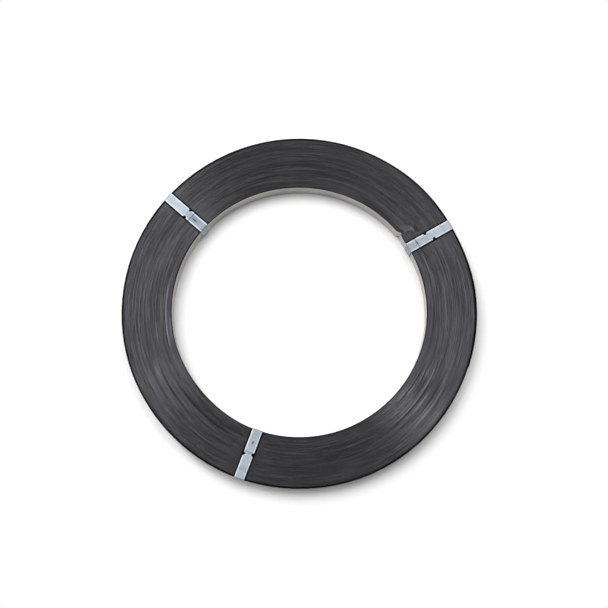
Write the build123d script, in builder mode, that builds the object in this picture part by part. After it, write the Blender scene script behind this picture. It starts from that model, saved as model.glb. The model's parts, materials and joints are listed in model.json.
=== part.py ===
from build123d import *
import os
from math import cos, radians, sin, sqrt

# A ring of black steel strapping, wound flat on itself and held by three galvanised tie bands.
# The origin is on the coil's axis, on the floor that the ties lie on, with +Z up.

# Strap
strap_width = 32.0
strap_thickness = 0.8

# Winding
bore_diameter = 406.4  # sixteen inches, the core that strapping dispensers take
lay_height = 0.3  # the turns slide past each other in multiples of this
# Turns that lie level with each other, from the bore outwards: how many, and how many lay
# heights they stand above the turns at the two rims, which rest on the ties.
turn_groups = [
    (2, 0), (8, 2), (10, 3), (6, 1), (9, 2), (11, 3), (8, 1),
    (9, 2), (12, 3), (7, 1), (9, 2), (7, 1), (2, 0),
]
free_end_angle = 340.5  # the outer end of the strap
kink_angle = 37.1  # the inner end, held here while the coil was wound
kink_start_arc = 2.2  # the bore wall runs out to the kink over this angle
kink_end_arc = 3.4  # and comes back over this one
kink_depth = 4.2
climb_arc = 25.0  # past the kink the last turn falls back to the turn below it over this angle

# Tie bands
tie_width = 16.0
tie_thickness = 0.5
tie_slack = 0.1  # between a tie and the curved walls
tie_angles = {"tie_band_right": 29.6, "tie_band_left": 139.0, "tie_band_front": 251.1}
lap_outside = 20.0  # how far the lapped end reaches from the notches towards the outer wall
lap_inside = 8.0
lap_ramp = 3.0  # the upper end climbs onto the lower one over this length
# The notches were cut by hand: one lies this much farther out than the one across from it.
notch_skews = {"tie_band_right": 9.0, "tie_band_left": 0.0, "tie_band_front": 1.5}
notch_depth = 3.4
notch_mouth = 6.0
notch_floor = 2.6
punch_offset = 20.0  # from the notches towards the bore
punch_length = 7.0
punch_width = 3.0
punch_depth = 0.3

# What follows from the sizes above
bore_radius = bore_diameter / 2
turns = sum(count for count, rise in turn_groups)
outer_radius = bore_radius + turns * strap_thickness
radius_below_last_turn = outer_radius - strap_thickness
last_turn_arc = (kink_angle - free_end_angle) % 360
lay_range = lay_height * max(rise for count, rise in turn_groups)
coil_bottom = tie_thickness
coil_height = strap_width + lay_range
coil_top = coil_bottom + coil_height


def polar(radius, angle):
    return Vector(radius * cos(radians(angle)), radius * sin(radians(angle)))


def outside_radius_at(angle):
    on_last_turn = (angle - free_end_angle) % 360 < last_turn_arc
    return outer_radius if on_last_turn else radius_below_last_turn


# The coil's section: every turn has the strap's width, so a group that stands high at the top
# stands as high at the bottom. It is turned a little too wide, then trimmed to the last turn.
trim = strap_thickness
lower_edge = []
upper_edge = []
radius = bore_radius
for count, rise in turn_groups:
    group_bottom = coil_bottom + rise * lay_height
    group_outside = radius + count * strap_thickness
    if group_outside > radius_below_last_turn:
        group_outside += trim
    for corner_radius in (radius, group_outside):
        lower_edge.append((corner_radius, group_bottom))
        upper_edge.append((corner_radius, group_bottom + strap_width))
    radius = group_outside

with BuildPart() as strap_coil:
    with BuildSketch(Plane.XZ):
        with BuildLine():
            Polyline(*upper_edge, *reversed(lower_edge), close=True)
        make_face()
    revolve(axis=Axis.Z)

    # The last turn ends in a step one strap thick, and falls away past the kink.
    fall_start = kink_angle
    fall_end = kink_angle + climb_arc
    fall_middle = kink_angle + climb_arc / 2
    with BuildSketch():
        with BuildLine():
            CenterArc((0, 0), outer_radius, fall_start - last_turn_arc, last_turn_arc)
            ThreePointArc(
                polar(outer_radius, fall_start),
                polar(outer_radius - strap_thickness / 2, fall_middle),
                polar(radius_below_last_turn, fall_end),
            )
            CenterArc((0, 0), radius_below_last_turn, fall_end, 360 - climb_arc - last_turn_arc)
            Line(polar(radius_below_last_turn, free_end_angle), polar(outer_radius, free_end_angle))
        make_face()
    extrude(amount=coil_top, mode=Mode.INTERSECT)

    # The kink in the bore: the innermost turns run out and come back over the inner end.
    kink_start = kink_angle + kink_start_arc
    kink_end = kink_angle - kink_end_arc
    with BuildSketch():
        with BuildLine():
            Polyline(
                polar(bore_radius, kink_start),
                polar(bore_radius + kink_depth, kink_angle),
                polar(bore_radius, kink_end),
                polar(bore_radius - kink_depth, kink_angle),
                close=True,
            )
        make_face()
    extrude(amount=coil_top, mode=Mode.SUBTRACT)

strap_coil.part.label = "strap_coil"


def build_tie_band(angle, notch_skew):
    # The strip is flat, so in the bore it touches the wall with its two edges.
    inside = sqrt(bore_radius**2 - (tie_width / 2) ** 2) - tie_slack
    outside = outside_radius_at(angle) + tie_slack
    notch_radius = (inside + outside) / 2
    bend_radius = lay_range  # the rims lie this far below the top run
    outwards = polar(1, angle)
    section_plane = Plane(origin=(0, 0, 0), x_dir=outwards, z_dir=outwards.cross(Vector(0, 0, 1)))
    top_plane = Plane(origin=(0, 0, coil_top), x_dir=outwards, z_dir=(0, 0, 1))

    with BuildSketch(section_plane) as hollow:
        with Locations((notch_radius, coil_bottom + coil_height / 2)):
            Rectangle(outside - inside, coil_height)
        fillet(hollow.vertices().group_by(Axis.Y)[-1], bend_radius)

    with BuildPart() as tie_band:
        with BuildSketch(section_plane):
            add(hollow.sketch_local)
            offset(amount=tie_thickness, kind=Kind.ARC)
            add(hollow.sketch_local, mode=Mode.SUBTRACT)
            # The upper end lies over the lower one and stops just past the notches.
            lap_bottom = coil_top + tie_thickness
            lap_top = lap_bottom + tie_thickness
            with BuildLine():
                Polyline(
                    (notch_radius - lap_inside, lap_bottom),
                    (notch_radius - lap_inside, lap_top),
                    (notch_radius + lap_outside, lap_top),
                    (notch_radius + lap_outside + lap_ramp, lap_bottom),
                    close=True,
                )
            make_face()
        extrude(amount=tie_width / 2, both=True)

        # One notch in each edge, through both layers of the lap.
        with BuildSketch(top_plane):
            for side in (1, -1):
                notch_middle = notch_radius - side * notch_skew / 2
                with BuildLine():
                    Polyline(
                        (notch_middle - notch_mouth / 2, side * tie_width / 2),
                        (notch_middle + notch_mouth / 2, side * tie_width / 2),
                        (notch_middle + notch_floor / 2, side * (tie_width / 2 - notch_depth)),
                        (notch_middle - notch_floor / 2, side * (tie_width / 2 - notch_depth)),
                        close=True,
                    )
                make_face()
        extrude(amount=2 * tie_thickness, mode=Mode.SUBTRACT)

        # The punched mark on the single layer beside the lap.
        with BuildSketch(top_plane.offset(tie_thickness)):
            with Locations((notch_radius - punch_offset, 0)):
                SlotOverall(punch_length, punch_width)
        extrude(amount=-punch_depth, mode=Mode.SUBTRACT)

    return tie_band


os.makedirs("parts", exist_ok=True)
export_step(strap_coil.part, "parts/strap_coil.step")

for name, angle in tie_angles.items():
    tie_band = build_tie_band(angle, notch_skews[name])
    tie_band.part.label = name
    export_step(tie_band.part, f"parts/{name}.step")
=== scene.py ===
import json
import math

import bmesh
import bpy
from mathutils import Matrix, Vector, noise


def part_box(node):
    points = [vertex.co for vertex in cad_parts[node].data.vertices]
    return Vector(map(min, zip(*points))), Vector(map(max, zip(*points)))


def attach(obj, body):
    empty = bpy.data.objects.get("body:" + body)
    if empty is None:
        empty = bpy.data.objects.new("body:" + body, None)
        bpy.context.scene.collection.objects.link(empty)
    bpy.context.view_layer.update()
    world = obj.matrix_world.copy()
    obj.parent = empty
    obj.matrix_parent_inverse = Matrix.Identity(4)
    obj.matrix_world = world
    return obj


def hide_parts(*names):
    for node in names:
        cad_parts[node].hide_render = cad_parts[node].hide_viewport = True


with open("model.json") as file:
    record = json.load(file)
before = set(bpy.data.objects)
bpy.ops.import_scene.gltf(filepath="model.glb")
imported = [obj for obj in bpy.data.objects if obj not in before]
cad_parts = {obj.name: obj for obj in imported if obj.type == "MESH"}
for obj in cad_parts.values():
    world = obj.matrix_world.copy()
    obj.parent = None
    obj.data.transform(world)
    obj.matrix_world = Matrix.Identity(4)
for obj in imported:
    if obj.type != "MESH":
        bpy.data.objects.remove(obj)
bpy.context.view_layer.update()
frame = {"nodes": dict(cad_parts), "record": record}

mm = 0.001
boreMount = next(mount for mount in frame["record"]["mounts"] if mount["name"] == "bore")
boreRadius = boreMount["dims"]["r_mm"] * mm
strapWidth = boreMount["dims"]["length_mm"] * mm
coilLow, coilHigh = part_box("strap_coil")
outerRadius = coilHigh.x
coilBottom = coilLow.z
coilTop = coilHigh.z


def smooth(value, low, high):
    # 0 below low, 1 above high, an even ramp with soft ends between
    share = min(max((value - low) / (high - low), 0.0), 1.0)
    return share * share * (3 - 2 * share)


def degreesApart(first, second):
    return abs((first - second + 180) % 360 - 180)


def addObject(name, data):
    added = bpy.data.objects.new(name, data)
    bpy.context.scene.collection.objects.link(added)
    return added


def makePiece(name, bm, materials, replacedNode):
    mesh = bpy.data.meshes.new(name)
    bm.to_mesh(mesh)
    bm.free()
    for material in materials:
        mesh.materials.append(material)
    piece = addObject(name, mesh)
    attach(piece, "root")
    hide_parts(replacedNode)


class Signal:
    # what one socket sends on, with sums written as plain Python
    def __init__(self, board, socket):
        self.board = board
        self.socket = socket

    def work(self, operation, first, second=0.0):
        return self.board.add("ShaderNodeMath", {"operation": operation}, {0: first, 1: second})

    def __add__(self, other):
        return self.work("ADD", self, other)

    def __radd__(self, other):
        return self.work("ADD", other, self)

    def __sub__(self, other):
        return self.work("SUBTRACT", self, other)

    def __rsub__(self, other):
        return self.work("SUBTRACT", other, self)

    def __mul__(self, other):
        return self.work("MULTIPLY", self, other)

    def __rmul__(self, other):
        return self.work("MULTIPLY", other, self)

    def __abs__(self):
        return self.work("ABSOLUTE", self)

    def largerOf(self, other):
        return self.work("MAXIMUM", self, other)


class Board:
    # the node board of one material or world
    def __init__(self, owner, outputKind="ShaderNodeOutputMaterial"):
        owner.use_nodes = True
        self.owner = owner
        self.nodes = owner.node_tree.nodes
        self.links = owner.node_tree.links
        self.nodes.clear()
        self.out = self.nodes.new(outputKind)

    def add(self, kind, settings=None, inputs=None, output=0):
        node = self.nodes.new(kind)
        for name, value in (settings or {}).items():
            setattr(node, name, value)
        for name, value in (inputs or {}).items():
            socket = node.inputs[name]
            if isinstance(value, Signal):
                self.links.new(value.socket, socket)
            else:
                socket.default_value = value
        return Signal(self, node.outputs[output])

    def place(self):
        return self.add("ShaderNodeTexCoord", output="Object")

    def uvMap(self, name):
        return self.add("ShaderNodeUVMap", {"uv_map": name})

    def attribute(self, name):
        return self.add("ShaderNodeAttribute", {"attribute_name": name}, output="Fac")

    def split(self, vector):
        # its x, y and z
        node = self.add("ShaderNodeSeparateXYZ", {}, {"Vector": vector}).socket.node
        return [Signal(self, node.outputs[axis]) for axis in "XYZ"]

    def lengthOf(self, vector):
        return self.add("ShaderNodeVectorMath", {"operation": "LENGTH"}, {0: vector}, "Value")

    def mixColours(self, share, first, second):
        return self.add(
            "ShaderNodeMix", {"data_type": "RGBA"}, {"Factor": share, 6: first, 7: second}, 2
        )

    def mixShaders(self, share, first, second):
        return self.add("ShaderNodeMixShader", {}, {0: share, 1: first, 2: second})

    def ramp(self, value, low, high, atLow=0.0, atHigh=1.0):
        return self.add(
            "ShaderNodeMapRange",
            {"interpolation_type": "SMOOTHSTEP"},
            {"Value": value, "From Min": low, "From Max": high, "To Min": atLow, "To Max": atHigh},
        )

    def noise(self, vector, scale, detail=3.0, stretch=(1, 1, 1)):
        stretched = self.add("ShaderNodeMapping", {}, {"Vector": vector, "Scale": stretch})
        return self.add(
            "ShaderNodeTexNoise", {}, {"Vector": stretched, "Scale": scale, "Detail": detail}
        )

    def bump(self, height, strength, distance, **under):
        return self.add(
            "ShaderNodeBump", {},
            {"Height": height, "Strength": strength, "Distance": distance, **under},
        )

    def finish(self, shader):
        self.links.new(shader.socket, self.out.inputs["Surface"])
        return self.owner


def newBoard(name):
    return Board(bpy.data.materials.new(name))


def grey(value, warmth=0.0):
    return (value * (1 + warmth), value, value * (1 - warmth), 1.0)


# the coil isn't quite round: the angle of each swell and half its width in degrees, and how far
# it moves the bore wall and the outer wall outwards
swells = [
    (88, 52, -1.85 * mm, 1.8 * mm), (27, 24, 0.0, -2.2 * mm), (222, 30, -1.6 * mm, -0.5 * mm),
    (345, 45, 1.1 * mm, 0.2 * mm), (300, 40, 0.3 * mm, 0.8 * mm),
]
looseness = 1.1 * mm  # and the turns together are this much thicker


def swell(degrees, share):
    # how far out the turn at this share of the way from bore to rim is moved
    moved = looseness * share
    for place, half, atBore, atRim in swells:
        off = min(degreesApart(degrees, place) / half, 1)
        moved += (atBore + (atRim - atBore) * share) * math.cos(off * math.pi / 2) ** 2
    return moved


# the three galvanised bands that hold the coil, by the node that each replaces: where the
# notches, the end of the upper layer and the punched mark lie, as distances from the axis, how
# far the strip leans to one side as it goes outwards, and how dull its inner half is
tieBands = {
    "tie_band_right": {
        "angle": 29.6, "outside": outerRadius, "notchAt": 242.6 * mm, "skew": 9.0 * mm,
        "lapEnd": 219.6 * mm, "punchAt": 219.4 * mm, "punchLength": 5.0 * mm, "boreBow": 2.0 * mm,
        "askew": 0.005, "dullingAndPaintedSheen": 0.0,
    },
    "tie_band_left": {
        "angle": 139.0, "outside": outerRadius - 0.8 * mm, "notchAt": 239.6 * mm, "skew": 0.0,
        "lapEnd": 231.6 * mm, "punchAt": 223.8 * mm, "punchLength": 12.0 * mm, "boreBow": 2.6 * mm,
        "askew": -0.006, "dullingAndPaintedSheen": 0.5,
    },
    "tie_band_front": {
        "angle": 251.1, "outside": outerRadius - 0.8 * mm, "notchAt": 243.2 * mm, "skew": 1.5 * mm,
        "lapEnd": 240.2 * mm, "punchAt": 224.2 * mm, "punchLength": 7.0 * mm, "boreBow": 1.2 * mm,
        "askew": -0.032, "dullingAndPaintedSheen": -0.15,
    },
}
tie = {
    "width": 16.0 * mm,
    "thickness": 0.5 * mm,
    "edgeRound": 0.12 * mm,
    "stationsAlong": 540,
    "stationsAcross": 24,
    "slack": 0.1 * mm,
    "topBend": 1.6 * mm,  # radius of the middle of the strip
    "footBend": 0.8 * mm,
    "lowerEnd": 261.5 * mm,  # where the strip's lower end lies, from the axis
    "lapStart": 262.5 * mm,  # where the upper layer is up on the lower one
    "lapRamp": 10.0 * mm,
    "lapBow": 0.05 * mm,
    "outerBow": 0.25 * mm,
    "notchDepth": 3.4 * mm,
    "notchMouth": 6.0 * mm,
    "notchFloor": 2.6 * mm,
    "neckDepth": 0.14 * mm,  # the crease from notch to notch
    "neckReach": (0.6 * mm, 2.4 * mm),
    "edgeDroop": 0.1 * mm,
    "punchWidth": 3.2 * mm,
    "punchAside": 0.3 * mm,
    "punchDepth": 0.32 * mm,
    "punchSlope": (0.45, 1.0),  # where the mark is deep and where it ends, as shares of its size
    "punchLip": 0.1 * mm,  # the strip rises a little round the mark
    "lipFrom": 0.8,
    "lipTop": 1.15,
    "lipTo": 1.7,
    "lapShadow": 0.7,
    "lapShadowReach": (0.2 * mm, 1.0 * mm),
    "dulledReach": 4.0 * mm,  # to each side of the notches
    # painted sheen that lightens the runs down the bore wall and the outer wall
    "paintedSheenOnSides": 1.2,  # the runs off the top are brighter by this
}


# the black slit edges of the strap

edgeFinish = {
    "paint": (0.003, 0.003, 0.0026, 1.0),
    "paintIor": 1.4,
    # the shiny coat: rubbed thin in places, and also the painted sheen and glints
    "rubbedAndSheen": (0.004, 0.004, 0.006, 1.0),  # where the coat is rubbed thin
    "rubbedIor": 2.0,
    "tint": (0.93, 0.92, 1.0, 1.0),
    "roughness": 0.475,
    "streakShine": 0.25,  # how much smoother the bright streaks are
    "wearAndSheenShine": 0.05,
    "grain": 0.99,
    "grainTurn": 0.25,  # a quarter turn, so that the light spreads across the turns
    "streaks": (10.0, 2.3, 1),  # how many to a metre, and to a turn
    "flecks": (34.0, 1.1, 1),  # and the short ones
    "fleckShare": 0.3,
    "patches": 20.0,  # to a metre, each across many turns
    "streakWeight": 1.05,
    "patchWeight": 0.05,
    "wearAndSheenWeight": 0.22,
    # the wear attribute in this sum carries painted sheen and glints as well as rubbed wear
    "rubbedFrom": 0.39,  # the sum of the three at which the coat starts to rub through
    "rubbedFull": 0.83,
    "waves": (18.0, 0.9, 1),  # of the slit edges, which aren't flat
    "waveHeight": 2.6 * mm,
    "speckles": 1500.0,
    "speckleStrength": 0.12,
    "speckleHeight": 0.04 * mm,
    "paintedShadeLines": grey(0.002),  # the black lines along the ties and the rims
    "shadeLineReach": 3.4 * mm,
    "shadeLineFrom": 95.3,  # the number of turns at which the black outer rim starts
    "shadeLineTo": 2.0,  # and the inner one ends
}


def makeEdgeMaterial():
    look = edgeFinish
    board = newBoard("blackStrapEdge")
    place = board.place()
    strap = board.uvMap("strap")
    # every turn has its own streaks
    single = board.noise(strap, 1.0, 4.0, look["streaks"])
    fleck = board.noise(strap, 1.0, 3.0, look["flecks"])
    streak = single * (1 - look["fleckShare"]) + fleck * look["fleckShare"]
    # rubbed wear from the streak list, with painted glints by the kink and painted sheen over the
    # bright sectors
    wornAndPaintedSheen = board.attribute("wearAndPaintedSheen")
    patch = board.noise(place, look["patches"])
    rubbedAndSheen = board.ramp(
        streak * look["streakWeight"] + patch * look["patchWeight"] + wornAndPaintedSheen * look["wearAndSheenWeight"],
        look["rubbedFrom"], look["rubbedFull"],
    )
    rough = look["roughness"] - (streak - 0.5) * look["streakShine"] - wornAndPaintedSheen * look["wearAndSheenShine"]
    wave = board.noise(strap, 1.0, 2.0, look["waves"])
    waved = board.bump(wave, 1.0, look["waveHeight"])
    speckle = board.noise(place, look["speckles"], 2.0)
    speckled = board.bump(speckle, look["speckleStrength"], look["speckleHeight"], Normal=waved)
    common = {
        "Roughness": rough, "Normal": speckled, "Specular Tint": look["tint"],
        "Anisotropic": look["grain"], "Anisotropic Rotation": look["grainTurn"],
    }
    black = board.add(
        "ShaderNodeBsdfPrincipled", {},
        {"Base Color": look["paint"], "IOR": look["paintIor"], **common},
    )
    shiny = board.add(
        "ShaderNodeBsdfPrincipled", {},
        {"Base Color": look["rubbedAndSheen"], "IOR": look["rubbedIor"], **common},
    )
    strapShader = board.mixShaders(rubbedAndSheen, black, shiny)

    # painted shade: matt black lines on the turns at the rims and along both sides of every tie,
    # where the dark outline and contact lines fall
    lap = board.split(strap)[1]
    paintedShadeLines = board.ramp(lap, look["shadeLineFrom"], look["shadeLineFrom"] + 1)
    paintedShadeLines = paintedShadeLines.largerOf(board.ramp(lap, look["shadeLineTo"], look["shadeLineTo"] + 1, 1, 0))
    tieEdge = tie["width"] / 2
    for band in tieBands.values():
        turned = board.add(
            "ShaderNodeVectorRotate",
            {"rotation_type": "Z_AXIS"},
            {"Vector": place, "Angle": -math.radians(band["angle"])},
        )
        outward, sideways = board.split(turned)[:2]
        sideways = sideways - (outward - band["notchAt"]) * band["askew"]
        near = board.ramp(
            abs(sideways), tieEdge + look["shadeLineReach"] / 2, tieEdge + look["shadeLineReach"], 1, 0
        )
        # and not straight across the bore from it
        paintedShadeLines = paintedShadeLines.largerOf(near * board.ramp(outward, 0, 10 * mm))
    # a matt black shader for the painted shade lines
    dull = board.add("ShaderNodeBsdfDiffuse", {}, {"Color": look["paintedShadeLines"]})
    return board.finish(board.mixShaders(paintedShadeLines, strapShader, dull))


# its flat sides, which show on the bore wall and the outer wall; their mid grey is partly a painted
# reflection of the pale floor

flatFinish = {
    "steel": 0.4,
    "unevenness": 0.15,
    "warmth": (0.04, 0.05),  # of the darker and the lighter steel
    "metal": 0.35,
    "roughness": 0.3,
    "grainRoughness": 0.25,
    "grain": (4.0, 60.0, 1),  # how many lines to a metre, and to the strap's width
    "clouds": 14.0,
    "toneRange": (0.35, 0.65),
    "grainStrength": 0.2,
    "grainHeight": 0.03 * mm,
}


def makeFlatMaterial():
    look = flatFinish
    board = newBoard("strapFlat")
    grain = board.noise(board.uvMap("strap"), 1.0, 5.0, look["grain"])
    cloud = board.noise(board.place(), look["clouds"])
    tone = board.ramp((grain + cloud) * 0.5, *look["toneRange"])
    darker = grey(look["steel"] * (1 - look["unevenness"]), look["warmth"][0])
    lighter = grey(look["steel"] * (1 + look["unevenness"]), look["warmth"][1])
    return board.finish(board.add(
        "ShaderNodeBsdfPrincipled",
        {},
        {
            "Base Color": board.mixColours(tone, darker, lighter),
            "Metallic": look["metal"],
            "Roughness": look["roughness"] + (grain - 0.5) * look["grainRoughness"],
            "Normal": board.bump(grain, look["grainStrength"], look["grainHeight"]),
        },
    ))


# the coil, one long strap wound on itself

coil = {
    "turns": 99.158,
    "segments": 120,  # to a turn
    "crowding": (0.45, 0.4),  # the segments are short at the inner end's place
    "springRise": 100 * mm,  # a turn, while it is wound as a spring
    "spacing": 0.8 * mm,  # from one turn to the next
    "thickness": 0.73 * mm,
    "edgeRound": 0.07 * mm,
    "innerEnd": 37.1,  # degrees, where the strap starts
    "climbArc": (2.4, 25.0),  # degrees over which the turns climb onto the start, in and out
    "kinkDepth": 3.4 * mm,
    "kinkStart": 2.2,  # degrees
    "kinkEnd": 3.4,
    "kinkTurns": 62,  # how far out the kink shows
    "kinkDrop": 0.55,  # the share of it that a turn loses at once, past the strap's end
    "kinkDropArc": 0.9,
    "kinkHold": 0.5,
    "lateClimb": 6,  # a high number keeps a turn level until its last part
    "sway": 0.16 * mm,  # neighbouring turns slide up and down together
    "swayWaves": (8, 0.21),  # how many to a metre, and to a turn
    "jitter": 0.06 * mm,  # and each a little by itself
    "jitterWaves": 5.7,
    "jitterSeed": (4.7, 1.3),
    "lean": 0.028,  # slope of the slit edges, across their thickness
    "leanWaves": ((9, 0.55), (22, 1.3)),
}
# single streaks on the upper end: the angles they run between, how far out they lie from the
# bore (0) to the outside (1), how many turns wide they are, and how bright they are rubbed, with
# painted glints and painted sheen among them
streaks = [
    (45, 59, 0.385, 1.4, -0.8), (51, 61, 0.43, 1.2, 0.7), (49, 63, 0.12, 1.3, -0.6),
    (68, 108, 0.467, 1.2, -0.7), (106, 127, 0.467, 1.0, -0.4), (148, 154, 0.33, 1.4, 0.5),
    (154, 162, 0.78, 1.4, 0.5), (168, 196, 0.115, 1.6, 1.6), (186, 193, 0.045, 1.2, 1.0),
    (199, 214, 0.11, 1.4, 0.6), (203, 208, 0.70, 1.4, 0.9), (201, 207, 0.53, 1.4, 1.4),
    (190, 197, 0.71, 1.2, 0.8), (205, 226, 0.446, 1.2, -0.8), (214, 241, 0.277, 1.3, -1.4),
    (216, 252, 0.16, 8.0, -0.25), (313, 329, 0.70, 1.4, 0.9), (317, 329, 0.50, 1.4, 1.1),
    (325, 334, 0.39, 1.2, 0.8), (329, 337, 0.28, 1.2, 0.8), (320, 327, 0.19, 1.4, 1.0),
    (318, 325, 0.12, 1.2, 0.8), (306, 331, 0.43, 1.3, -1.2), (314, 336, 0.16, 1.2, -0.9),
    (310, 334, 0.60, 1.2, -0.8), (316, 328, 0.88, 1.3, 0.6), (310, 322, 0.79, 1.2, -0.6),
    (315, 326, 0.64, 1.0, 0.7), (318, 332, 0.33, 1.0, -0.7), (312, 320, 0.24, 1.2, 0.6),
    (20, 28, 0.22, 1.5, -0.6), (12, 24, 0.48, 1.3, -0.5),
    # painted glints: the bright dashes beside the kink, and painted shade between them
    (36.4, 39.6, 0.105, 1.4, 2.6), (36.2, 39.2, 0.15, 1.4, 3.2), (35.8, 38.8, 0.195, 1.4, 3.2),
    (35.4, 38.2, 0.24, 1.4, 2.6), (34.8, 37.4, 0.28, 1.4, 1.6), (33.6, 36.6, 0.345, 3.0, -1.2),
    (35.0, 39.0, 0.18, 12.0, -0.3),
    # and broad ones over nearly the whole ring: painted sheen where the ring shines, and less of it
    # at 138 to 160 degrees
    (198, 224, 0.5, 80.0, 0.25), (304, 324, 0.5, 80.0, 0.25), (138, 160, 0.5, 80.0, -0.2),
]


def wound(progress):
    # how far round the strap has gone, in turns, with its segments crowded at the inner end
    once, twice = coil["crowding"]
    turn = math.tau * progress
    return progress - once * math.sin(turn) / math.tau - twice * math.sin(2 * turn) / (2 * math.tau)


def turnPlace(progress):
    # where the middle of the strap lies after this many turns from its inner end
    lap = math.floor(progress)
    passed = 360 * (wound(progress) - lap)  # degrees since the inner end's place
    left = 360 - passed
    inside, outside = coil["climbArc"]
    climbArc = inside + (outside - inside) * lap / coil["turns"]
    radius = boreRadius + coil["spacing"] * (lap + 0.5 + smooth(-left, -climbArc, 0))
    # every turn is pushed out where the strap's end lies under it
    lifted = (1 - coil["kinkDrop"]) * (1 - smooth(passed, coil["kinkHold"], coil["kinkEnd"]))
    if lap > 0:
        lifted += coil["kinkDrop"] * (1 - smooth(passed, 0, coil["kinkDropArc"]))
    lifted += smooth(-left, -coil["kinkStart"], 0)
    radius += coil["kinkDepth"] * max(1 - progress / coil["kinkTurns"], 0) * lifted
    degrees = coil["innerEnd"] - passed
    radius += swell(degrees, min(progress / coil["turns"], 1))
    return radius, math.radians(degrees)


def ripple(x, y, lap, waves):
    # a slow rise and fall that neighbouring turns share
    perMetre, perTurn = waves
    return noise.noise(Vector((perMetre * x, perMetre * y, perTurn * lap)))


def levelTurns():
    # the middle height of every turn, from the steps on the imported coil's upper end
    node = frame["nodes"]["strap_coil"]
    outermost = outerRadius - 1.2 * mm  # on steel all the way round, past the free end too
    levels = []
    for lap in range(math.ceil(coil["turns"]) + 1):
        radius = min(boreRadius + coil["spacing"] * (lap + 0.5), outermost)
        hit, point, normal, face = node.ray_cast(Vector((0, radius, 1)), Vector((0, 0, -1)))
        levels.append(point.z - strapWidth / 2)
    return levels


def levelAt(levels, progress, x, y):
    # the height of the strap's middle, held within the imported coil's height
    lap = math.floor(progress)
    climbed = (progress - lap) ** coil["lateClimb"]
    level = levels[lap] + (levels[lap + 1] - levels[lap]) * climbed
    level += coil["sway"] * ripple(x, y, lap, coil["swayWaves"])
    own = Vector((progress * coil["jitterWaves"], *coil["jitterSeed"]))
    level += coil["jitter"] * noise.noise(own)
    return min(max(level, coilBottom + strapWidth / 2), coilTop - strapWidth / 2)


def wearAndSheenAt(degrees, share):
    # the streaks with their soft ends, above 0 where bright and below 0 where black; this also
    # paints the glints by the kink and the broad sheen
    wornAndPaintedSheen = 0.0
    for start, end, place, turns, strength in streaks:
        off = degreesApart(degrees, (start + end) / 2) / ((end - start) / 2)
        aside = abs(share - place) * coil["turns"] / turns
        wornAndPaintedSheen += strength * (1 - smooth(off, 0.4, 1.2)) * (1 - smooth(aside, 0.3, 1.2))
    return wornAndPaintedSheen


def windSpring(bm, rise):
    # an open spring that climbs by rise each turn, so that height tells how far along it is
    perTurn = coil["segments"]
    bmesh.ops.spin(
        bm, geom=bm.verts[:] + bm.edges[:], axis=(0, 0, 1),
        dvec=(0, 0, rise / perTurn), angle=math.tau, steps=perTurn,
    )
    oneTurn = bm.verts[:] + bm.edges[:] + bm.faces[:]
    for lap in range(1, math.ceil(coil["turns"])):
        copied = bmesh.ops.duplicate(bm, geom=oneTurn)["geom"]
        vertices = [item for item in copied if isinstance(item, bmesh.types.BMVert)]
        bmesh.ops.translate(bm, vec=(0, 0, rise * lap), verts=vertices)
    bmesh.ops.remove_doubles(bm, verts=bm.verts, dist=rise / perTurn / 20)
    beyond = [vertex for vertex in bm.verts if wound(vertex.co.z / rise) > coil["turns"]]
    bmesh.ops.delete(bm, geom=beyond, context="VERTS")


def strapCorners():
    # how far out and how far up the strap's eight corners lie from its middle
    side = coil["thickness"] / 2
    tip = strapWidth / 2
    cut = coil["edgeRound"]
    return [
        (side, tip - cut), (side - cut, tip), (cut - side, tip), (-side, tip - cut),
        (-side, cut - tip), (cut - side, -tip), (side - cut, -tip), (side, cut - tip),
    ]


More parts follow.
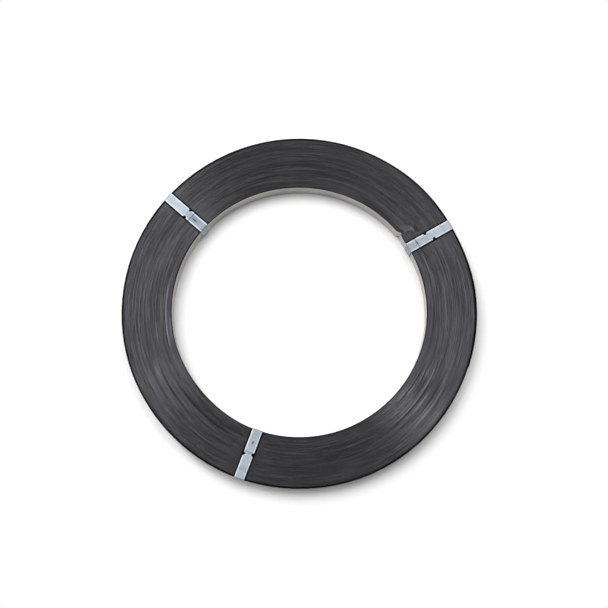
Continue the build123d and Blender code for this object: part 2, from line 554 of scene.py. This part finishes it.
def makeCoil(edgeMaterial, flatMaterial):
    look = coil
    bm = bmesh.new()
    corner = bm.verts.layers.int.new("corner")
    wearAndPaintedSheen = bm.verts.layers.float.new("wearAndPaintedSheen")
    strapMap = bm.loops.layers.uv.new("strap")
    section = bmesh.ops.create_circle(bm, segments=8, radius=5 * mm)["verts"]
    for number, vertex in enumerate(section):
        vertex[corner] = number
        vertex.co.x += boreRadius
    windSpring(bm, look["springRise"])

    # the spring's eight corners go to the corners of the strap
    corners = strapCorners()
    levels = levelTurns()
    progressOf = {}
    for vertex in bm.verts:
        progress = max(vertex.co.z / look["springRise"], 0)
        progressOf[vertex] = progress
        radius, angle = turnPlace(progress)
        lap = math.floor(progress)
        x, y = radius * math.cos(angle), radius * math.sin(angle)
        across, up = corners[vertex[corner]]
        slope = sum(ripple(x, y, lap, waves) for waves in look["leanWaves"])
        height = levelAt(levels, progress, x, y) + up + look["lean"] * slope * across
        reach = radius + across
        # wear, painted glints and painted sheen at this place on the ends
        vertex[wearAndPaintedSheen] = wearAndSheenAt(math.degrees(angle), progress / look["turns"])
        vertex.co = (reach * math.cos(angle), reach * math.sin(angle), height)
    bmesh.ops.holes_fill(bm, edges=[edge for edge in bm.edges if edge.is_boundary], sides=8)
    bmesh.ops.recalc_face_normals(bm, faces=bm.faces)

    # the map: metres along the turn, and the number of the turn with the height as its fraction
    for face in bm.faces:
        numbers = sorted(vertex[corner] for vertex in face.verts)
        isFlatSide = numbers in ([3, 3, 4, 4], [0, 0, 7, 7])
        face.material_index = 1 if isFlatSide else 0
        face.smooth = len(face.verts) == 4
        lap = math.floor(sum(progressOf[vertex] for vertex in face.verts) / len(face.verts))
        turnLength = math.tau * (boreRadius + look["spacing"] * lap)
        for loop in face.loops:
            up = corners[loop.vert[corner]][1] / strapWidth
            along = (wound(progressOf[loop.vert]) - lap) * turnLength
            loop[strapMap].uv = (along, lap + 0.5 + 0.8 * up)
    for edge in bm.edges:
        # the slit edges look rounded, and meet the flat sides sharply
        numbers = {vertex[corner] for vertex in edge.verts}
        edge.smooth = len(numbers) != 1 or numbers < {1, 2, 5, 6}
    makePiece("woundStrap", bm, [edgeMaterial, flatMaterial], "strap_coil")


# the galvanised strip

zincFinish = {
    "zinc": (0.30, 0.34, 0.38, 1.0),
    "dull": (0.16, 0.195, 0.22, 1.0),
    # painted highlight: both edges are lighter, for the light that their rolled edges catch, partly
    # worn zinc
    "edge": (0.47, 0.50, 0.54, 1.0),  # both edges are worn bright
    # colour of the painted shade in the punched mark and at the lap end
    "paintedShade": (0.05, 0.06, 0.07, 1.0),
    "paintedShadeCover": 0.85,
    "metal": 0.75,
    "roughness": 0.52,
    "cloudRoughness": 0.3,
    "paintedShadeRoughness": 0.2,
    "spangles": 520.0,
    "rollMarks": (60.0, 14.0, 1),
    "clouds": 120.0,
    "toneWeights": (0.5, 0.35, 0.15),  # of the clouds, the roll marks and the spangles
    "toneRange": (0.36, 0.64),
    "cloudStrength": 0.25,
    "cloudHeight": 0.06 * mm,
    "dullAt": 205 * mm,  # from the axis: each band is dull here
    "cleanAt": 265 * mm,  # and clean out here
    "cleanShare": 0.45,
    "edgeRag": 0.12,
    "edgeFrom": 0.74,  # of the half width
    "edgeFull": 0.84,
}


def makeTieMaterial():
    look = zincFinish
    board = newBoard("galvanisedStrip")
    place = board.place()
    strip = board.uvMap("strip")
    across = abs(board.split(strip)[1])
    spangle = board.add(
        "ShaderNodeTexVoronoi", {}, {"Vector": place, "Scale": look["spangles"]}, "Color"
    )
    facet = board.add("ShaderNodeSeparateColor", {}, {"Color": spangle})
    rolled = board.noise(strip, 1.0, 4.0, look["rollMarks"])
    cloud = board.noise(place, look["clouds"], 4.0)
    byCloud, byRolled, byFacet = look["toneWeights"]
    mottled = cloud * byCloud + rolled * byRolled + facet * byFacet
    tone = board.ramp(mottled, *look["toneRange"])
    # the inner half of each band is the duller one
    clean = board.ramp(board.lengthOf(place), look["dullAt"], look["cleanAt"])
    # less the dulling inside the notches, and more painted sheen on the runs off the top
    tone = tone * (1 - look["cleanShare"]) + clean * look["cleanShare"] - board.attribute("dullingAndPaintedSheen")
    colour = board.mixColours(tone, look["dull"], look["zinc"])
    # painted highlight along both edges of the strip, partly worn zinc
    wornAndPaintedSheen = board.ramp(across + (rolled - 0.5) * look["edgeRag"], look["edgeFrom"], look["edgeFull"])
    colour = board.mixColours(wornAndPaintedSheen, colour, look["edge"])
    # painted shade in the punched mark and along the end of the upper layer
    paintedShade = board.attribute("paintedShade")
    colour = board.mixColours(paintedShade * look["paintedShadeCover"], colour, look["paintedShade"])
    rough = look["roughness"] + (cloud - 0.5) * look["cloudRoughness"]
    return board.finish(board.add(
        "ShaderNodeBsdfPrincipled",
        {},
        {
            "Base Color": colour,
            "Metallic": look["metal"],
            "Roughness": rough + paintedShade * look["paintedShadeRoughness"],
            "Normal": board.bump(cloud, look["cloudStrength"], look["cloudHeight"]),
        },
    ))


def layPath(band):
    # the strip's way round the coil: straight and bent lengths, each with how far it bows out
    half = tie["thickness"] / 2
    inner = math.sqrt(boreRadius ** 2 - (tie["width"] / 2) ** 2) - tie["slack"] - half
    inner += swell(band["angle"], 0)
    outer = band["outside"] + swell(band["angle"], 1) + tie["slack"] + half
    top = coilTop + half
    foot = coilBottom - half
    topBend, footBend = tie["topBend"], tie["footBend"]
    lapStart = tie["lapStart"]
    start = Vector((tie["lowerEnd"], top))
    wallHeight = top - foot - topBend - footBend
    ramp = tie["lapRamp"] / 2
    rampAngle = 2 * math.degrees(math.asin(tie["thickness"] / 2 / ramp))
    lengths = [
        (start.x - inner - topBend, 0, 0),
        (topBend * math.pi / 2, 90, 0),
        (wallHeight, 0, band["boreBow"]),
        (footBend * math.pi / 2, 90, 0),
        (outer - inner - 2 * footBend, 0, 0),
        (footBend * math.pi / 2, 90, 0),
        (wallHeight, 0, tie["outerBow"]),
        (topBend * math.pi / 2, 90, 0),
        (outer - topBend - lapStart - tie["lapRamp"], 0, tie["lapBow"]),
        (ramp, -rampAngle, 0),
        (ramp, rampAngle, 0),
        (lapStart - band["lapEnd"], 0, tie["lapBow"]),
    ]
    return start, lengths


def walkPath(start, lengths, distance):
    # the place at this distance, and the direction that points away from the coil there
    place = start.copy()
    heading = math.pi
    bow = 0.0
    for length, bend, bowOut in lengths:
        part = min(max(distance, 0), length)
        turned = math.radians(bend) * part / length
        straight = part if bend == 0 else 2 * math.sin(turned / 2) * length / math.radians(bend)
        middle = heading + turned / 2
        place += Vector((math.cos(middle), math.sin(middle))) * straight
        heading += turned
        if 0 < distance <= length:
            bow = bowOut * math.sin(math.pi * part / length) ** 2
        distance -= part
        if distance <= 0:
            break
    outward = Vector((math.sin(heading), -math.cos(heading)))
    return place + outward * bow, outward


def liesOnTop(outward):
    return outward.y >= 0.9


def halfWidthAt(band, spot, y):
    # what the notches leave of the strip's half width here
    place, outward = spot
    halfWidth = tie["width"] / 2
    if not liesOnTop(outward):
        return halfWidth
    side = 1 if y > 0 else -1
    off = abs(place.x - (band["notchAt"] - side * band["skew"] / 2))
    slope = (tie["notchMouth"] - tie["notchFloor"]) / 2
    cut = min(max((tie["notchMouth"] / 2 - off) / slope, 0), 1)
    return halfWidth - tie["notchDepth"] * cut


def markReach(band, place, across):
    # 0 in the middle of the punched mark, 1 at its rim
    along = (place.x - band["punchAt"]) / (band["punchLength"] / 2)
    return math.hypot(along, (across - tie["punchAside"]) / (tie["punchWidth"] / 2))


def pressedDepth(band, spot, across):
    # how far the face is pushed towards the coil here
    place, outward = spot
    share = across / (tie["width"] / 2)
    depth = tie["edgeDroop"] * abs(share) ** 6
    if not liesOnTop(outward):
        return depth
    reach = markReach(band, place, across)
    depth += tie["punchDepth"] * (1 - smooth(reach, *tie["punchSlope"]))
    raised = smooth(reach, tie["lipFrom"], tie["lipTop"])
    depth -= tie["punchLip"] * raised * (1 - smooth(reach, tie["lipTop"], tie["lipTo"]))
    neck = abs(place.x - band["notchAt"] + share * band["skew"] / 2)
    return depth + tie["neckDepth"] * (1 - smooth(neck, *tie["neckReach"]))


def paintedShadeAt(band, spot, across, isLower):
    # painted shade in the punched mark, and a painted shadow line on the lower layer against the
    # end of the upper one
    place, outward = spot
    if not liesOnTop(outward):
        return 0.0
    paintedShade = 1 - smooth(markReach(band, place, across), 0.35, 1.0)
    if isLower:
        gap = abs(place.x - band["lapEnd"] + tie["thickness"])
        paintedShade = max(paintedShade, tie["lapShadow"] * (1 - smooth(gap, *tie["lapShadowReach"])))
    return paintedShade


def dullingAndSheenAt(band, spot):
    # dull inside the notches on the top, and a painted sheen that lightens the runs off it
    place, outward = spot
    reach = tie["dulledReach"]
    inner = smooth(band["notchAt"] - place.x, -reach, reach)
    offTop = 1 - smooth(outward.y, 0.2, 0.8)
    return band["dullingAndPaintedSheen"] * inner - tie["paintedSheenOnSides"] * offTop


def makeTie(node, band, material):
    start, lengths = layPath(band)
    total = sum(length for length, bend, bow in lengths)
    stations = tie["stationsAlong"]
    step = total / stations
    walked = [walkPath(start, lengths, step * number) for number in range(stations + 1)]

    # a flat strip first: x along it, y across it
    bm = bmesh.new()
    paintedShade = bm.verts.layers.float.new("paintedShade")
    dullingAndPaintedSheen = bm.verts.layers.float.new("dullingAndPaintedSheen")
    stripMap = bm.loops.layers.uv.new("strip")
    bmesh.ops.create_grid(bm, x_segments=stations, y_segments=tie["stationsAcross"], size=0.5)
    bmesh.ops.translate(bm, vec=(0.5, 0, 0), verts=bm.verts)
    bmesh.ops.scale(bm, vec=(total, tie["width"], 1), verts=bm.verts)
    for vertex in bm.verts:
        number = round(vertex.co.x / step)
        spot = walked[number]
        vertex.co.y *= halfWidthAt(band, spot, vertex.co.y) / (tie["width"] / 2)
        vertex.co.z = -pressedDepth(band, spot, vertex.co.y)
        vertex[paintedShade] = paintedShadeAt(band, spot, vertex.co.y, number * step < lengths[0][0])
        vertex[dullingAndPaintedSheen] = dullingAndSheenAt(band, spot)
    bmesh.ops.solidify(bm, geom=bm.faces[:], thickness=tie["thickness"])
    meanHeight = sum(vertex.co.z for vertex in bm.verts) / len(bm.verts)
    middle = math.copysign(tie["thickness"] / 2, meanHeight)
    # the rims are the edges that turn by more than a radian
    rims = [edge for edge in bm.edges if len(edge.link_faces) == 2 and edge.calc_face_angle() > 1.0]
    bmesh.ops.bevel(
        bm, geom=rims, offset=tie["edgeRound"], affect="EDGES", segments=2, profile=0.5, material=-1
    )
    bmesh.ops.recalc_face_normals(bm, faces=bm.faces)

    # the map follows the notches, so the worn edge does too
    for face in bm.faces:
        face.smooth = True
        for loop in face.loops:
            x, y, z = loop.vert.co
            spot = walked[min(max(round(x / step), 0), stations)]
            loop[stripMap].uv = (x, y / halfWidthAt(band, spot, y))

    # then the strip is wrapped round the coil
    for vertex in bm.verts:
        x, y, z = vertex.co
        number = min(max(x / step, 0), stations - 0.001)
        whole = math.floor(number)
        (placeA, outA), (placeB, outB) = walked[whole], walked[whole + 1]
        outward = outA.lerp(outB, number - whole).normalized()
        place = placeA.lerp(placeB, number - whole) + outward * (z - middle)
        vertex.co = (place.x, y + band["askew"] * (place.x - band["notchAt"]), place.y)
    turn = Matrix.Rotation(math.radians(band["angle"]), 3, "Z")
    bmesh.ops.rotate(bm, matrix=turn, verts=bm.verts)
    bmesh.ops.recalc_face_normals(bm, faces=bm.faces)
    makePiece(node.replace("tie_band", "tieStrip"), bm, [material], node)


edgeMaterial = makeEdgeMaterial()
flatMaterial = makeFlatMaterial()
tieMaterial = makeTieMaterial()
print("materials made")

makeCoil(edgeMaterial, flatMaterial)
print("strap wound")

for node, band in tieBands.items():
    makeTie(node, band, tieMaterial)
print("ties wrapped")


# floor, light and camera

studio = {
    "floorSize": 14.0,
    "floorColour": 0.95,
    "floorRoughness": 0.9,
    "floorGloss": 0.1,
    "whiteFrom": 0.33,  # metres from the middle, where the floor starts to turn plain white
    "whiteAt": 0.42,
    "skyStrength": 0.17,
    "skyShown": 1.0,
}
# softboxes, each with the direction and distance that it shines from
softboxes = {
    "main": {
        "azimuth": 122.9, "zenith": 19.1, "distance": 7.0, "size": (9.86, 3.94), "radiance": 3.15,
    },
    "side": {
        "azimuth": 21.6, "zenith": 25.1, "distance": 7.0, "size": (3.59, 3.3), "radiance": 2.41,
    },
    "back": {
        "azimuth": 131.3, "zenith": 38.7, "distance": 7.0, "size": (1.33, 7.19), "radiance": 7.8,
    },
}


def makeFloor():
    look = studio
    bm = bmesh.new()
    bmesh.ops.create_grid(bm, x_segments=1, y_segments=1, size=look["floorSize"] / 2)
    mesh = bpy.data.meshes.new("floor")
    bm.to_mesh(mesh)
    bm.free()
    board = newBoard("paleFloor")
    away = board.lengthOf(board.place())
    seen = board.add("ShaderNodeLightPath", output="Is Camera Ray")
    mirrored = board.add("ShaderNodeLightPath", output="Is Glossy Ray")
    share = board.ramp(away, look["whiteFrom"], look["whiteAt"]) * seen.largerOf(mirrored)
    lit = board.add(
        "ShaderNodeBsdfPrincipled",
        {},
        {
            "Base Color": grey(look["floorColour"]),
            "Roughness": look["floorRoughness"],
            "Specular IOR Level": look["floorGloss"],
        },
    )
    plain = board.add("ShaderNodeEmission", {}, {"Color": grey(1.0), "Strength": 1.0})
    mesh.materials.append(board.finish(board.mixShaders(share, lit, plain)))
    floor = addObject("floor", mesh)


def makeWorld():
    world = bpy.data.worlds.new("studio")
    board = Board(world, "ShaderNodeOutputWorld")

    def sky(strength):
        return board.add("ShaderNodeBackground", {}, {"Color": grey(1.0), "Strength": strength})

    seen = board.add("ShaderNodeLightPath", output="Is Camera Ray")
    board.finish(board.mixShaders(seen, sky(studio["skyStrength"]), sky(studio["skyShown"])))
    bpy.context.scene.world = world


def addSoftbox(name, look):
    data = bpy.data.lights.new(name, "AREA")
    data.shape = "RECTANGLE"
    data.size, data.size_y = look["size"]
    data.energy = look["radiance"] * math.pi * data.size * data.size_y
    azimuth, zenith = math.radians(look["azimuth"]), math.radians(look["zenith"])
    lamp = addObject(name, data)
    lamp.location = look["distance"] * Vector((
        math.sin(zenith) * math.cos(azimuth), math.sin(zenith) * math.sin(azimuth), math.cos(zenith)
    ))
    lamp.rotation_euler = (-lamp.location).to_track_quat("-Z", "Y").to_euler()


camera = {
    "focalPixels": 1146.0,  # for a picture of the width below
    "pictureWidth": 608,
    "sensorWidth": 36.0,  # in mm, as Blender counts it
    "distance": 1.831,
    "tilt": 10.67,  # degrees from straight down
    "aim": (8.0 * mm, 8.33 * mm),
    "clipEnd": 50.0,
}


def makeCamera():
    look = camera
    data = bpy.data.cameras.new("camera")
    data.sensor_width = look["sensorWidth"]
    data.lens = look["focalPixels"] * look["sensorWidth"] / look["pictureWidth"]
    data.clip_end = look["clipEnd"]
    tilt = math.radians(look["tilt"])
    back = Vector((0, -math.sin(tilt), math.cos(tilt)))
    eye = addObject("camera", data)
    eye.location = Vector((*look["aim"], coilTop)) + back * look["distance"]
    eye.rotation_euler = (tilt, 0, 0)
    bpy.context.scene.camera = eye


makeFloor()
makeWorld()
for name, look in softboxes.items():
    addSoftbox(name, look)
makeCamera()
bpy.context.scene.view_settings.view_transform = "Standard"
print("studio lit")
